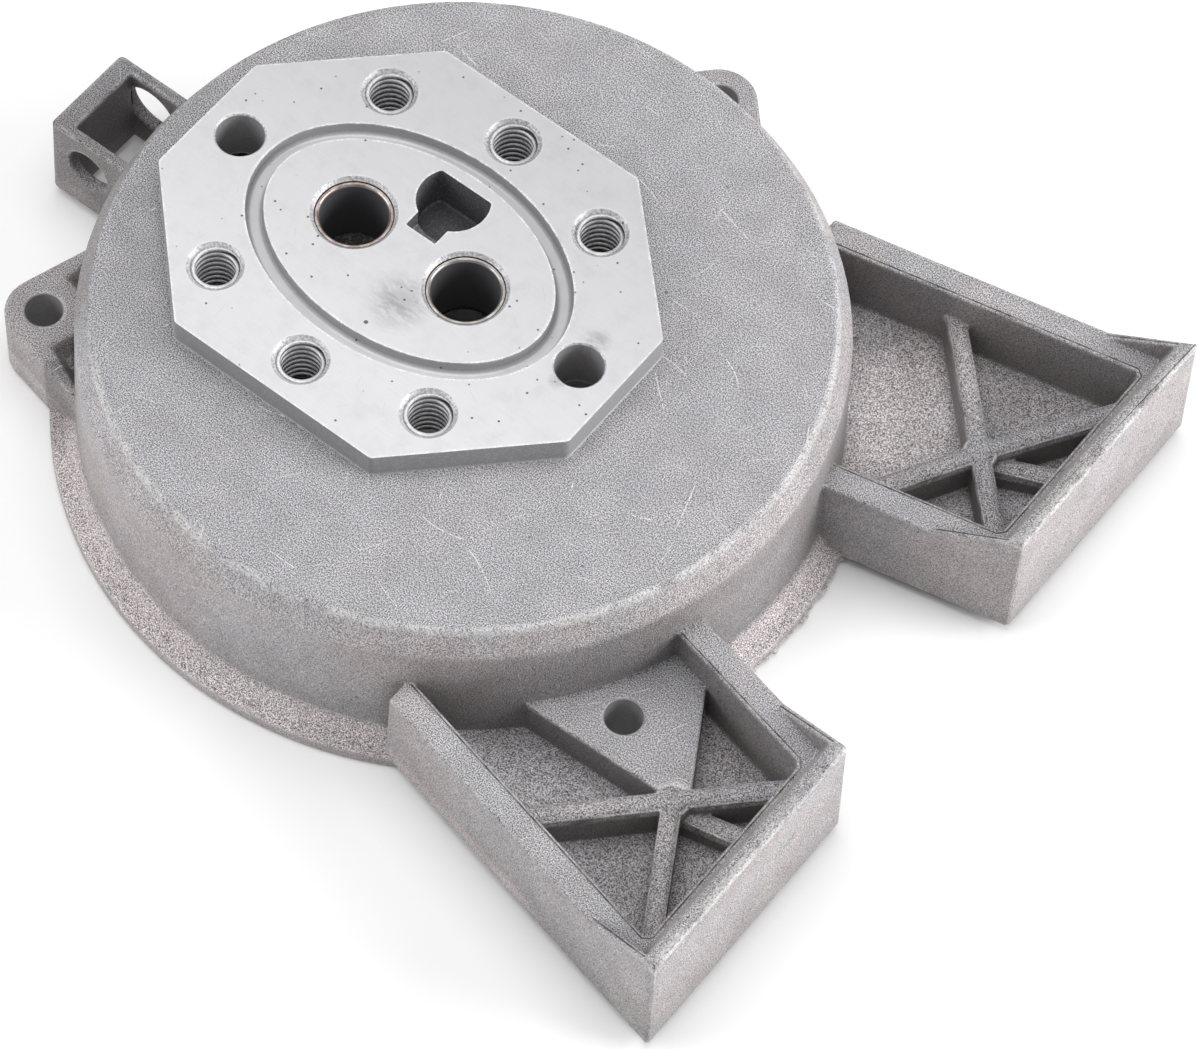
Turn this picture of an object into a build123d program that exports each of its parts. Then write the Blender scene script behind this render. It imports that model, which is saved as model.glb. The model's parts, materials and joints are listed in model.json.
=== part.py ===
from build123d import *
import os
from math import cos, radians, sin, tan

# Pump bell housing: a cast aluminium bell on a round flange, with an octagonal machined pad on top
# where a gear pump bolts on, two webbed feet at one end, a small box bracket at the other, three bolt
# holes round the flange, and two plain bushes pressed into the pad for the pump's shafts.
# Millimetres. The origin is on the drive shaft's axis, in the flat underside of the flange.
# +X points at the two feet, +Z out of the pad. The foot with the bolt hole is on the -Y side.

# Bell: flange, wall and top plate
FLANGE_DIAMETER = 189.7
FLANGE_EDGE = 3.5
FLANGE_ROOT = 5.2
FLANGE_ROOT_SLOPE = 2.8
WALL_FOOT_RADIUS = 88.9
SHOULDER_RADIUS = 87.7
SHOULDER_HEIGHT = 38.2
TOP_EDGE_RADIUS = 84.05
TOP_FACE_HEIGHT = 45.0
WALL = 6.2
PLATE = 9.0
INSIDE_SLOPE = 4.5

# Machined pad and its seal groove
PAD_HEIGHT = 6.7
PAD_CENTRE_X = -16.3
PAD_HALF_LENGTH = 58.9
PAD_HALF_WIDTH = 48.05
PAD_DIAGONAL = 53.75
PAD_CORNER = 2.0
GROOVE_HALF_LENGTH = 41.2
GROOVE_HALF_WIDTH = 28.9
GROOVE_WIDTH = 4.15
GROOVE_DEPTH = 3.4

# Shaft bores, bushes and hubs
SHAFT_SPACING = 32.13
SHAFT_DIAMETER = 15.875
BUSH_OUTER = 18.26
BUSH_LENGTH = 19.0
BUSH_SUNK = 1.1
BUSH_EDGE = 0.4
BORE_CHAMFER = 0.87
SHAFT_PASSAGE = 17.0
SEAL_SHELF = 2.0
SEAL_RECESS_DIAMETER = 28.6
SEAL_RECESS_DEPTH = 8.0
DRIVE_HUB_WALL = 5.2
IDLER_HUB_WALL = 4.6
IDLER_FLOOR = 4.0

# Ported pocket between the bores and the seal groove
PORT_X = -16.9
PORT_Y = 16.8
PORT_RADIUS = 8.5
PORT_FLAT = 4.7
PORT_NOTCH_WIDTH = 8.3
PORT_NOTCH_END = 11.9
PORT_NOTCH_DEPTH = 4.5
PORT_DEPTH = 12.0

# Tapped and dowel holes of the pad
THREAD_MAJOR = 11.11
THREAD_MOUTH = 13.2
SIDE_BOLT_X = -16.4
SIDE_BOLT_Y = 37.85
CORNER_BOLT_X = 30.5
CORNER_BOLT_Y = 30.85
DOWEL_DIAMETER = 11.3
DOWEL_SPACING = 97.65
DOWEL_MIDDLE_X = -16.63
DOWEL_CHAMFER = 0.4

# Three bolt holes outside the flange
BOLT_CIRCLE_RADIUS = 97.1
BOLT_HOLE = 8.8
EAR_RADIUS = 9.1
EAR_SIDE_ANGLE = 42.0
EAR_REACH = 24.0
EAR_HEIGHT = 18.6
EAR_ANGLES = (90, 210)
EAR_RECESS_TIP = (-3.2, 9.4)
EAR_RECESS_INNER = (-16.0, -1.8)
EAR_RECESS_OUTER = (-15.2, 25.4)
EAR_RECESS_DEPTH = 4.5
EAR_RECESS_DRAFT = 30.0
FOOT_HOLE_ANGLE = -30

# Feet
FOOT_END_X = 132.7
FOOT_INNER_Y = 31.9
FOOT_OUTER_Y = 102.0
FOOT_SPLAY = 12.5
FOOT_BOTTOM = 2.6
FOOT_FLOOR = 8.5
FOOT_WALL_TOP = 27.6
FOOT_CREST = 37.5
FOOT_SIDE_WALL = 6.9
FOOT_END_WALL = 8.4
FOOT_END_SLOPE = 70.0
FOOT_LEDGE = 1.5
FOOT_CORNER = 0.8
FOOT_POCKET_CORNER = 1.2
FOOT_FLOOR_SLOPE = 0.9
WEB_THICKNESS = 1.8
WEB_LENGTH = 20.1
DRAFT = 1.5

# Ribs in the feet
RIB_WIDTH = 4.6
RIB_HUB_DIAMETER = 8.3
LOW_RIB_DROP = 4.0
NEAR_RIB_CENTRE = (105.0, -58.2)
NEAR_RIB_ANGLES = (-134.0, -60.0, 45.6)
NEAR_LOW_RIB_ANGLE = 14.0
FAR_RIB_CENTRE = (105.0, 57.0)
FAR_RIB_ANGLES = (134.4, 58.0, -45.0, -119.3)
FAR_LOW_RIB_ANGLE = 25.0
PLATEAU_TIP_X = 1.6
PLATEAU_TIP_Y = 5.1
PLATEAU_TIP_ANGLE = 120.4
PLATEAU_SIDE_ANGLE = -177.5

# Box bracket
BRACKET_END_X = -113.4
BRACKET_HALF_WIDTH = 13.2
BRACKET_END_WALL = 5.4
BRACKET_SIDE_WALL = 2.8
BRACKET_CORNER = 1.8
BRACKET_HOLE_X = -101.8
BRACKET_HOLE_Z = 17.6
BRACKET_HOLE = 11.6
BRACKET_FAR_HOLE = 13.8

PAD_TOP = TOP_FACE_HEIGHT + PAD_HEIGHT
PLATE_UNDERSIDE = TOP_FACE_HEIGHT - PLATE
BUSH_TOP = PAD_TOP - BUSH_SUNK
BUSH_BOTTOM = BUSH_TOP - BUSH_LENGTH
ROOT_X = SHOULDER_RADIUS / 2
PASS = 1.0


def polygon(*points):
    return make_face(Polyline(*points, close=True))


def block(sketch, low, high, taper=0.0):
    """The sketch raised from one height to another, narrowing upwards by the taper angle."""
    return extrude(Pos(0, 0, low) * sketch, high - low, dir=(0, 0, 1), taper=taper)


def pit(sketch, high, low, taper=0.0):
    """A cutting tool that narrows downwards from the height `high`."""
    return extrude(Pos(0, 0, high) * sketch, high - low, dir=(0, 0, -1), taper=taper)


def rod(x, y, diameter, low, high):
    return block(Pos(x, y) * Circle(diameter / 2), low, high)


def mouth(x, y, wide, narrow, top):
    """A 45 degree chamfer at the mouth of a hole."""
    deep = (wide - narrow) / 2
    cone = Cone(narrow / 2, wide / 2, deep, align=(Align.CENTER, Align.CENTER, Align.MAX))
    return Pos(x, y, top) * cone + rod(x, y, wide, top, top + PASS)


def bell_outside():
    flange_radius = FLANGE_DIAMETER / 2
    face = polygon(
        (0, 0), (flange_radius, 0), (flange_radius, FLANGE_EDGE), (WALL_FOOT_RADIUS, FLANGE_ROOT),
        (SHOULDER_RADIUS, SHOULDER_HEIGHT), (TOP_EDGE_RADIUS, TOP_FACE_HEIGHT), (0, TOP_FACE_HEIGHT),
    )
    root = face.vertices().sort_by_distance((WALL_FOOT_RADIUS, FLANGE_ROOT))[0]
    return revolve(Plane.XZ * chamfer(root, FLANGE_ROOT_SLOPE), Axis.Z)


def bell_inside():
    foot = WALL_FOOT_RADIUS - WALL
    top = SHOULDER_RADIUS - WALL - tan(radians(DRAFT))
    face = polygon((0, -PASS), (foot, -PASS), (foot, 0), (top, PLATE_UNDERSIDE), (0, PLATE_UNDERSIDE))
    face = chamfer(face.vertices().sort_by_distance((top, PLATE_UNDERSIDE))[0], INSIDE_SLOPE)
    return revolve(Plane.XZ * face, Axis.Z)


def pad():
    square = Rotation(0, 0, 45) * Rectangle(2 * PAD_DIAGONAL, 2 * PAD_DIAGONAL)
    octagon = Rectangle(2 * PAD_HALF_LENGTH, 2 * PAD_HALF_WIDTH) & square
    octagon = fillet(octagon.vertices(), PAD_CORNER)
    return Pos(PAD_CENTRE_X, 0) * block(octagon, PLATE_UNDERSIDE + PASS, PAD_TOP)


def seal_groove():
    ring = Ellipse(GROOVE_HALF_LENGTH, GROOVE_HALF_WIDTH)
    ring -= Ellipse(GROOVE_HALF_LENGTH - GROOVE_WIDTH, GROOVE_HALF_WIDTH - GROOVE_WIDTH)
    return Pos(PAD_CENTRE_X, 0) * block(ring, PAD_TOP - GROOVE_DEPTH, PAD_TOP + PASS)


def port():
    """The round port with a flat on its outer side and a shallower notch towards the bores."""
    round_hole = Circle(PORT_RADIUS) & polygon(
        (-PORT_RADIUS, -PORT_RADIUS), (PORT_RADIUS, -PORT_RADIUS), (PORT_RADIUS, PORT_FLAT), (-PORT_RADIUS, PORT_FLAT)
    )
    notch = Pos(0, -PORT_NOTCH_END / 2) * Rectangle(PORT_NOTCH_WIDTH, PORT_NOTCH_END)
    tool = block(round_hole, PAD_TOP - PORT_DEPTH, PAD_TOP + PASS)
    return Pos(PORT_X, PORT_Y) * (tool + block(notch, PAD_TOP - PORT_NOTCH_DEPTH, PAD_TOP + PASS))


def hubs():
    drive = rod(0, 0, SEAL_RECESS_DIAMETER + 2 * DRIVE_HUB_WALL, drive_hub_bottom(), PLATE_UNDERSIDE + PASS)
    bottom = BUSH_BOTTOM - IDLER_FLOOR
    idler = rod(-SHAFT_SPACING, 0, BUSH_OUTER + 2 * IDLER_HUB_WALL, bottom, PLATE_UNDERSIDE + PASS)
    return drive + idler


def drive_hub_bottom():
    return BUSH_BOTTOM - SEAL_SHELF - SEAL_RECESS_DEPTH


def shaft_bores():
    wide = BUSH_OUTER + 2 * BORE_CHAMFER
    tools = []
    for x in (0, -SHAFT_SPACING):
        tools.append(rod(x, 0, BUSH_OUTER, BUSH_BOTTOM, PAD_TOP + PASS))
        tools.append(mouth(x, 0, wide, BUSH_OUTER, PAD_TOP))
    tools.append(rod(0, 0, SHAFT_PASSAGE, drive_hub_bottom() - PASS, PAD_TOP))
    tools.append(rod(0, 0, SEAL_RECESS_DIAMETER, drive_hub_bottom() - PASS, drive_hub_bottom() + SEAL_RECESS_DEPTH))
    return tools


def bolt_places():
    """Centres of the six tapped holes: one each side of the pad's middle, and four at its corners."""
    for side in (-1, 1):
        yield SIDE_BOLT_X, side * SIDE_BOLT_Y
        for end in (-1, 1):
            yield SIDE_BOLT_X + end * CORNER_BOLT_X, side * CORNER_BOLT_Y


def pad_holes():
    tools = []
    for x, y in bolt_places():
        tools.append(rod(x, y, THREAD_MAJOR, 0, PAD_TOP + PASS))
        tools.append(mouth(x, y, THREAD_MOUTH, THREAD_MAJOR, PAD_TOP))
    for end in (-1, 1):
        x = DOWEL_MIDDLE_X + end * DOWEL_SPACING / 2
        tools.append(rod(x, 0, DOWEL_DIAMETER, 0, PAD_TOP + PASS))
        tools.append(mouth(x, 0, DOWEL_DIAMETER + 2 * DOWEL_CHAMFER, DOWEL_DIAMETER, PAD_TOP))
    return tools


def on_bolt_circle(angle):
    return ray(BOLT_CIRCLE_RADIUS, angle)


def ear(angle):
    """A round boss with straight sides that spread out towards the bell."""
    turn = radians(90 - EAR_SIDE_ANGLE)
    touch_x, touch_y = EAR_RADIUS * cos(turn), EAR_RADIUS * sin(turn)
    inner_x = touch_x - EAR_REACH * cos(radians(EAR_SIDE_ANGLE))
    inner_y = touch_y + EAR_REACH * sin(radians(EAR_SIDE_ANGLE))
    sides = polygon((touch_x, -touch_y), (touch_x, touch_y), (inner_x, inner_y), (inner_x, -inner_y))
    body = block(Circle(EAR_RADIUS) + sides, 0, EAR_HEIGHT)
    for side in (-1, 1):
        body -= ear_recess(side)
    return Rotation(0, 0, angle) * Pos(BOLT_CIRCLE_RADIUS, 0, 0) * body


def ear_recess(side):
    """The three-cornered pocket between an ear's boss and the bell's wall."""
    corners = [(x, side * y) for x, y in (EAR_RECESS_TIP, EAR_RECESS_INNER, EAR_RECESS_OUTER)]
    outline = polygon(*corners)
    floor = EAR_HEIGHT - EAR_RECESS_DEPTH
    return pit(outline, EAR_HEIGHT, floor, EAR_RECESS_DRAFT) + block(outline, EAR_HEIGHT, EAR_HEIGHT + PASS)


def bolt_holes():
    return [rod(*on_bolt_circle(angle), BOLT_HOLE, -PASS, EAR_HEIGHT + PASS)
            for angle in (*EAR_ANGLES, FOOT_HOLE_ANGLE)]


def foot_outline(inset_side, inset_end, corner):
    """Plan of the foot on the +Y side, its sides and end moved in by the insets, back to inside the bell."""
    slope = tan(radians(FOOT_SPLAY))
    across = inset_side / cos(radians(FOOT_SPLAY))
    end = FOOT_END_X - inset_end
    low = FOOT_INNER_Y + across - inset_end * slope
    high = FOOT_OUTER_Y - across - inset_end * slope
    start = ROOT_X
    back = (end - start) * slope
    plan = polygon((end, low), (end, high), (start, high - back), (start, low - back))
    corners = [plan.vertices().sort_by_distance(point)[0] for point in ((end, low), (end, high))]
    return chamfer(corners, corner)


def lean(height):
    """How far the drafted outside has moved in at a height."""
    return (height - FOOT_BOTTOM) * tan(radians(DRAFT))


def upright(profile):
    """A profile in X and Z, drawn out to both sides of the XZ plane."""
    return extrude(Plane.XZ * profile, 2 * FOOT_OUTER_Y, both=True)


def crest_x():
    return FOOT_END_X - lean(FOOT_CREST)


def ledge_x():
    return FOOT_END_X - lean(FOOT_WALL_TOP) - FOOT_END_WALL + FOOT_LEDGE


def foot_block():
    """The foot's outside: side walls, the raised crest of its end, and the two webs that run up to it."""
    outline = foot_outline(0, 0, FOOT_CORNER)
    low_part = block(outline, FOOT_BOTTOM, FOOT_WALL_TOP, DRAFT)
    full = block(outline, FOOT_BOTTOM, FOOT_CREST, DRAFT)
    beyond = ((FOOT_END_X + PASS, FOOT_CREST), (FOOT_END_X + PASS, FOOT_WALL_TOP))
    steep_x = ledge_x() + (FOOT_CREST - FOOT_WALL_TOP) / tan(radians(FOOT_END_SLOPE))
    end = upright(polygon((ledge_x(), FOOT_WALL_TOP), (steep_x, FOOT_CREST), *beyond))
    ramp = upright(polygon((crest_x() - WEB_LENGTH, FOOT_WALL_TOP), (crest_x(), FOOT_CREST), *beyond))
    inner = foot_outline(lean(FOOT_WALL_TOP) + WEB_THICKNESS, 0, FOOT_CORNER)
    webs = ramp - block(inner, 0, FOOT_CREST + PASS)
    return low_part + (full & ramp & end) + (full & webs)


def foot_pocket():
    moved = lean(FOOT_WALL_TOP)
    outline = foot_outline(FOOT_SIDE_WALL + moved, FOOT_END_WALL + moved, FOOT_POCKET_CORNER)
    tool = pit(outline, FOOT_WALL_TOP, FOOT_FLOOR, DRAFT)
    tool = chamfer(tool.faces().sort_by(Axis.Z)[0].edges(), FOOT_FLOOR_SLOPE)
    return tool + block(outline, FOOT_WALL_TOP, FOOT_WALL_TOP + PASS)


def ray(length, angle):
    return length * cos(radians(angle)), length * sin(radians(angle))


def ribs(centre, angles, low_angle):
    """Ribs that run out from one junction to the foot's walls, and a lower one to its end wall."""
    junction = Pos(*centre)
    arm = Rectangle(FOOT_END_X - ROOT_X, RIB_WIDTH, align=(Align.MIN, Align.CENTER))
    arms = junction * Circle(RIB_HUB_DIAMETER / 2)
    for angle in angles:
        arms += junction * Rotation(0, 0, angle) * arm
    low_arm = junction * Rotation(0, 0, low_angle) * arm
    bottom = FOOT_BOTTOM + PASS
    return block(arms, bottom, EAR_HEIGHT) + block(low_arm, bottom, EAR_HEIGHT - LOW_RIB_DROP)


def plateau():
    """The raised floor of the near foot, level with its ribs, that carries the third bolt hole."""
    x, y = NEAR_RIB_CENTRE
    tip_x, tip_y = x + PLATEAU_TIP_X, y + PLATEAU_TIP_Y
    wall_x, wall_y = ray(FOOT_END_X - ROOT_X, PLATEAU_TIP_ANGLE)
    bell_x, bell_y = ray(FOOT_END_X - ROOT_X, PLATEAU_SIDE_ANGLE)
    shape = polygon((x, y), (tip_x, tip_y), (tip_x + wall_x, tip_y + wall_y), (x + bell_x, y + bell_y))
    return block(shape, FOOT_BOTTOM, EAR_HEIGHT)


def on_side(shape, side):
    return shape if side > 0 else mirror(shape, Plane.XZ)


def foot(side, inside, outside):
    body = on_side(foot_block(), side) - (on_side(foot_pocket(), side) - outside)
    limit = on_side(block(foot_outline(WEB_THICKNESS, WEB_THICKNESS, FOOT_CORNER), 0, EAR_HEIGHT), side)
    return body + (inside & limit)


def bracket(outside):
    """The open box at the end away from the feet, with a pin hole across it."""
    length = -BRACKET_END_X - ROOT_X
    plan = Pos(BRACKET_END_X + length / 2, 0) * Rectangle(length, 2 * BRACKET_HALF_WIDTH)
    ends = plan.vertices().sort_by(Axis.X)[:2]
    body = block(fillet(ends, BRACKET_CORNER), FOOT_BOTTOM, FOOT_WALL_TOP, DRAFT)
    moved = lean(FOOT_WALL_TOP)
    end = BRACKET_END_X + moved + BRACKET_END_WALL
    half = BRACKET_HALF_WIDTH - moved - BRACKET_SIDE_WALL
    length = -end - ROOT_X
    hollow = Pos(end + length / 2, 0) * Rectangle(length, 2 * half)
    body -= block(hollow, FOOT_BOTTOM - PASS, FOOT_WALL_TOP + PASS) - outside
    through = BRACKET_HALF_WIDTH + PASS - half
    for side, diameter in ((-1, BRACKET_HOLE), (1, BRACKET_FAR_HOLE)):
        pin = Cylinder(diameter / 2, through, rotation=(90, 0, 0))
        body -= Pos(BRACKET_HOLE_X, side * (half + through / 2), BRACKET_HOLE_Z) * pin
    return body


def bell_housing():
    outside = bell_outside()
    body = outside + bracket(outside)
    for angle in EAR_ANGLES:
        body += ear(angle)
    body += foot(1, ribs(FAR_RIB_CENTRE, FAR_RIB_ANGLES, FAR_LOW_RIB_ANGLE), outside)
    body += foot(-1, ribs(NEAR_RIB_CENTRE, NEAR_RIB_ANGLES, NEAR_LOW_RIB_ANGLE) + plateau(), outside)
    x, y = on_bolt_circle(FOOT_HOLE_ANGLE)
    body += rod(x, y, 2 * EAR_RADIUS, 0, EAR_HEIGHT)
    body -= bell_inside()
    body += pad()
    body += hubs()
    body -= [seal_groove(), port(), *shaft_bores(), *pad_holes(), *bolt_holes()]
    return body


def bush():
    tube = rod(0, 0, BUSH_OUTER, BUSH_BOTTOM, BUSH_TOP) - rod(0, 0, SHAFT_DIAMETER, BUSH_BOTTOM - PASS, PAD_TOP)
    inner = tube.edges().filter_by(GeomType.CIRCLE).sort_by(SortBy.RADIUS)[:2]
    return chamfer(inner, BUSH_EDGE)


pieces = {
    "bell_housing": bell_housing(),
    "drive_shaft_bush": bush(),
    "idler_shaft_bush": Pos(-SHAFT_SPACING, 0, 0) * bush(),
}

os.makedirs("parts", exist_ok=True)
for name, piece in pieces.items():
    piece.label = name
    export_step(piece, f"parts/{name}.step")
    print(name, len(piece.solids()), round(piece.volume, 1))
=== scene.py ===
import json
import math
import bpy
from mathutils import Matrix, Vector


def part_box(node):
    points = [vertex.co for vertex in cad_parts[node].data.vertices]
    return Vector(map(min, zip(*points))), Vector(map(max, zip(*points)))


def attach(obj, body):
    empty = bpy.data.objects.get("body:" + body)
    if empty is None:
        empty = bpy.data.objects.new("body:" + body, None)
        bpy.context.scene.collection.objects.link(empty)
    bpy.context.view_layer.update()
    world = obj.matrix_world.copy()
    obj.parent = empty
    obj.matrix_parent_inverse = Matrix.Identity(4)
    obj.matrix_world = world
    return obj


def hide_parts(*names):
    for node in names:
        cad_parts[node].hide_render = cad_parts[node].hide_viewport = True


bl_info = {
    "name": "Pump bell housing",
    "version": (1, 0, 0),
    "blender": (4, 5, 0),
    "location": "3D View > Sidebar > Bell Housing",
    "description": "Finishes a pump bell housing: blasted casting, milled pad, threads, bushes and flash",
    "category": "Object",
}

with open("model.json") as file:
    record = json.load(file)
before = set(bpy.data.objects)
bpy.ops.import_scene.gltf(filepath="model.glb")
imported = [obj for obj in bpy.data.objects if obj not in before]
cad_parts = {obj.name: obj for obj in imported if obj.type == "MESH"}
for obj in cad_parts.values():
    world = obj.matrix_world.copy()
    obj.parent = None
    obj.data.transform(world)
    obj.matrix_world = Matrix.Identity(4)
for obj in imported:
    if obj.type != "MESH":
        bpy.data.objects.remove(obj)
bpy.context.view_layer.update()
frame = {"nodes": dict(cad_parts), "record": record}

import bmesh
import bpy
from bpy.props import FloatProperty, FloatVectorProperty, IntProperty, PointerProperty
from mathutils import Matrix, Vector, bvhtree

MM = 0.001
INCH = 0.0254

# Places and sizes taken from the frame
MOUNTS = {mount["name"]: mount for mount in frame["record"]["mounts"]}
PAD_TOP = MOUNTS["pump_pad"]["pos_m"][2]
THREADED = [mount for name, mount in MOUNTS.items() if name.startswith("pad_thread")]
DOWELLED = [MOUNTS["dowel_hole_left"], MOUNTS["dowel_hole_right"]]
SHAFTS = [MOUNTS["drive_shaft_bore"], MOUNTS["idler_shaft_bore"]]
BOLT_CIRCLE_RADIUS = MOUNTS["flange_bolts"]["dims"]["pcd_mm"] / 2 * MM
BOLT_RADIUS = MOUNTS["flange_bolts"]["dims"]["hole_r_mm"] * MM
BOLT_ANGLES = (90, 210, 330)
THREAD_RADIUS = THREADED[0]["dims"]["r_mm"] * MM
THREAD_LENGTH = THREADED[0]["dims"]["length_mm"] * MM
THREAD_TOP = THREADED[0]["pos_m"][2] + THREAD_LENGTH / 2
SHAFT_RADIUS = SHAFTS[0]["dims"]["r_mm"] * MM
BUSH_RADIUS = (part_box("drive_shaft_bush")[1].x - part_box("drive_shaft_bush")[0].x) / 2
DOWEL_FOOT = DOWELLED[0]["pos_m"][2] - DOWELLED[0]["dims"]["length_mm"] * MM / 2

# Depths, places and angles on the casting
MACHINED_DEPTH = 3.5 * MM
GROOVE_DEPTH = 3 * MM
PLATE_TOP = PAD_TOP - 6.7 * MM
PORT_CENTRE = (-16.9 * MM, 16.8 * MM)
PORT_REACH = 13 * MM
PORT_DEPTH = 14 * MM
PORT_FLOOR = PAD_TOP - 8 * MM
SHOULDER_EDGE = 84.05 * MM
FLANGE_RADIUS = 94.85 * MM
RIB_TOP = 18.6 * MM
LOW_RIB_TOP = 14.6 * MM
NEAR_JUNCTION = Vector((105 * MM, -58.2 * MM, 0))
FAR_JUNCTION = Vector((105 * MM, 57 * MM, 0))
RIBS = (
    (NEAR_JUNCTION, RIB_TOP, (-134.0, -60.0, 45.6)), (NEAR_JUNCTION, LOW_RIB_TOP, (14.0,)),
    (FAR_JUNCTION, RIB_TOP, (134.4, 58.0, -45.0, -119.3)), (FAR_JUNCTION, LOW_RIB_TOP, (25.0,)),
)
RIB_CLEARANCE = 0.4 * MM
RIB_OVERLAP = 2 * MM
WALL_SEARCH_START = 0.6
POCKETS_FROM_X = 60 * MM
POCKETS_FROM_Z = 25 * MM
FLASH_HEIGHT = 1.6 * MM
FLASH_START = -27
FLASH_END = 20
FLASH_STEPS = 400
FLASH_LUMP = 2.0 * MM

# Marks seen in the photograph
SMUDGE_CENTRE = Vector((-9 * MM, -11.8 * MM, PAD_TOP))
SMUDGE_REACH = 10 * MM
SMALL_SMUDGES = (
    (Vector((31.2 * MM, 7.2 * MM, PAD_TOP)), 4.5 * MM),
    (Vector((31.1 * MM, -6.3 * MM, PAD_TOP)), 3 * MM),
)
BIG_PIT = Vector((-11.5 * MM, -21.1 * MM, PAD_TOP))
PALE_PATCH = Vector((82 * MM, 57 * MM, 8.5 * MM))
PIT_BLACK = (0.03, 0.03, 0.03)
EDGE_WHITE = (0.95, 0.95, 0.95)
SCRATCH_BEND = 90.0

# Soft bands along X, Y, Z, the radius or the way off the shoulder: where a mask begins and is full
UPPER_Z = (36 * MM, 46 * MM)
RIM_Z = (9.5 * MM, 6 * MM)
RIM_X = (100 * MM, 90 * MM)
BRACKET_X = (-88 * MM, -98 * MM)
# Painted shade on the bell between the feet
SHADED_BELL_RADIUS = (90 * MM, 88.5 * MM)
SHADED_BELL_Z = (39 * MM, 36 * MM)
SHADED_BETWEEN_FEET_X = (60 * MM, 78 * MM)
# Painted shade on the bell's left flank and the rim beside it, clear of the ear
SHADED_FLANK_RADIUS = (83.6 * MM, 84.4 * MM)
SHADED_FLANK_X = (-52 * MM, -76 * MM)
BESIDE_EAR_Y = (-60 * MM, -54 * MM)
CREST_Z = (33 * MM, 36 * MM)
CREST_X = (118 * MM, 124 * MM)
SHOULDER_OFF = (1.3 * MM, 0.3 * MM)
SHOULDER_Z = (43 * MM, 44 * MM)
SHOULDER_X = (-66 * MM, -46 * MM)
# Painted shade: the pad is darker towards its far side along Y
FAR_SIDE_SHADE_Y = (-30 * MM, 42 * MM)

# How the casting's faces are told apart, merged and rounded
SLACK = 0.1 * MM
UPRIGHT_NORMAL_Z = 0.2
LID_NORMAL_Z = 0.3
WALL_NORMAL_Z = 0.25
WELD = 0.002 * MM
FLAT_ANGLE = math.radians(0.5)
SHARP_ANGLE = math.radians(25)
STRIP_ANGLE = math.radians(60)
STRIP_WIDTH = 1.6 * MM
RIM_ANGLE = math.radians(40)
ROUNDED_SHARE = 0.42

# Threads; the base and the crest are shares of the pitch
THREAD_BASE = 0.86
THREAD_CREST = 0.14
THREAD_SUNK = 0.02 * MM
THREAD_SHORTER = 0.4 * MM
THREAD_ABOVE = 0.6 * MM

# The stage; a lamp has a name, a place, a size and a power
LAMPS = (
    ("overhead", (-0.1, 0.05, 1.3), 1.2, 11.0),
    ("right", (1.08, 0.58, 0.45), 0.8, 17.0),
    ("left", (-0.9, -0.85, 0.65), 0.9, 9.0),
)
LAMP_AIM = Vector((0.02, 0, 0.03))
FLOOR_HALF = 3.0
FLOOR_LEVEL = -0.2 * MM
WORLD_STRENGTH = 0.3


class CastingFinish(bpy.types.PropertyGroup):
    """Colours and roundings of the casting"""
    grey: FloatVectorProperty(
        name="Blasted grey", description="Colour of the blasted casting where it is clean",
        subtype="COLOR", default=(0.435, 0.43, 0.45))
    bloom: FloatVectorProperty(
        name="Brown bloom", description="Tint that the casting's walls and flange have taken on",
        subtype="COLOR", default=(0.46, 0.425, 0.43))
    # Partly the flange's own pinkish tint and partly painted light: the rim is painted paler where the flange
    # is brightly lit
    flange: FloatVectorProperty(
        name="Rim grey", description="Paler, pinkish colour of the flange's upper face",
        subtype="COLOR", default=(0.62, 0.565, 0.57))
    worn: FloatVectorProperty(
        name="Worn metal", description="Bright metal where handling has rubbed an edge",
        subtype="COLOR", default=(0.86, 0.85, 0.84))
    # Grime and painted shade in the corners and pockets; also the colour of the pits
    grime: FloatVectorProperty(
        name="Corner grime", description="Dark dust left in the inside corners",
        subtype="COLOR", default=(0.10, 0.095, 0.09))
    edge_round: FloatProperty(
        name="Edge rounding", description="Radius on the outside edges of the casting",
        default=0.55 * MM, min=0, unit="LENGTH")
    root_round: FloatProperty(
        name="Root rounding", description="Radius in the inside corners of the casting",
        default=0.6 * MM, min=0, unit="LENGTH")
    soft_round: FloatProperty(
        name="Soft corners", description="How far from an edge or corner the casting's surface looks rounded",
        default=3.0 * MM, min=0, unit="LENGTH")
    machined_round: FloatProperty(
        name="Machined edge", description="Radius left on a machined edge",
        default=0.12 * MM, min=0, unit="LENGTH")
    groove_round: FloatProperty(
        name="Groove bottom", description="Radius in the bottom corners of the seal groove",
        default=1.7 * MM, min=0, unit="LENGTH")
    grain: FloatProperty(
        name="Grain size", description="Width of one pit of the blasted surface",
        default=0.30 * MM, min=0.05 * MM, unit="LENGTH")


class PadFinish(bpy.types.PropertyGroup):
    """Colours and mill marks of the machined pad"""
    bright: FloatVectorProperty(
        name="Milled metal", description="Colour of the milled pad",
        subtype="COLOR", default=(0.62, 0.615, 0.635))
    smudge: FloatVectorProperty(
        name="Oil smudge", description="Colour of the oily smudges on the pad",
        subtype="COLOR", default=(0.35, 0.35, 0.37))
    streak: FloatProperty(
        name="Mill mark width", description="Width of the marks that the milling cutter left",
        default=0.25 * MM, min=0.02 * MM, unit="LENGTH")


class ThreadSizes(bpy.types.PropertyGroup):
    """Sizes of the threads in the tapped holes"""
    pitch: FloatProperty(
        name="Pitch", description="Distance from one thread to the next",
        default=INCH / 14, min=0.2 * MM, unit="LENGTH")
    ridge: FloatProperty(
        name="Thread height", description="How far a thread stands in from its hole's wall",
        default=0.88 * MM, min=0.1 * MM, unit="LENGTH")
    steps: IntProperty(
        name="Steps in a turn", description="Straight steps in one turn of a thread",
        default=40, min=12)


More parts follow.
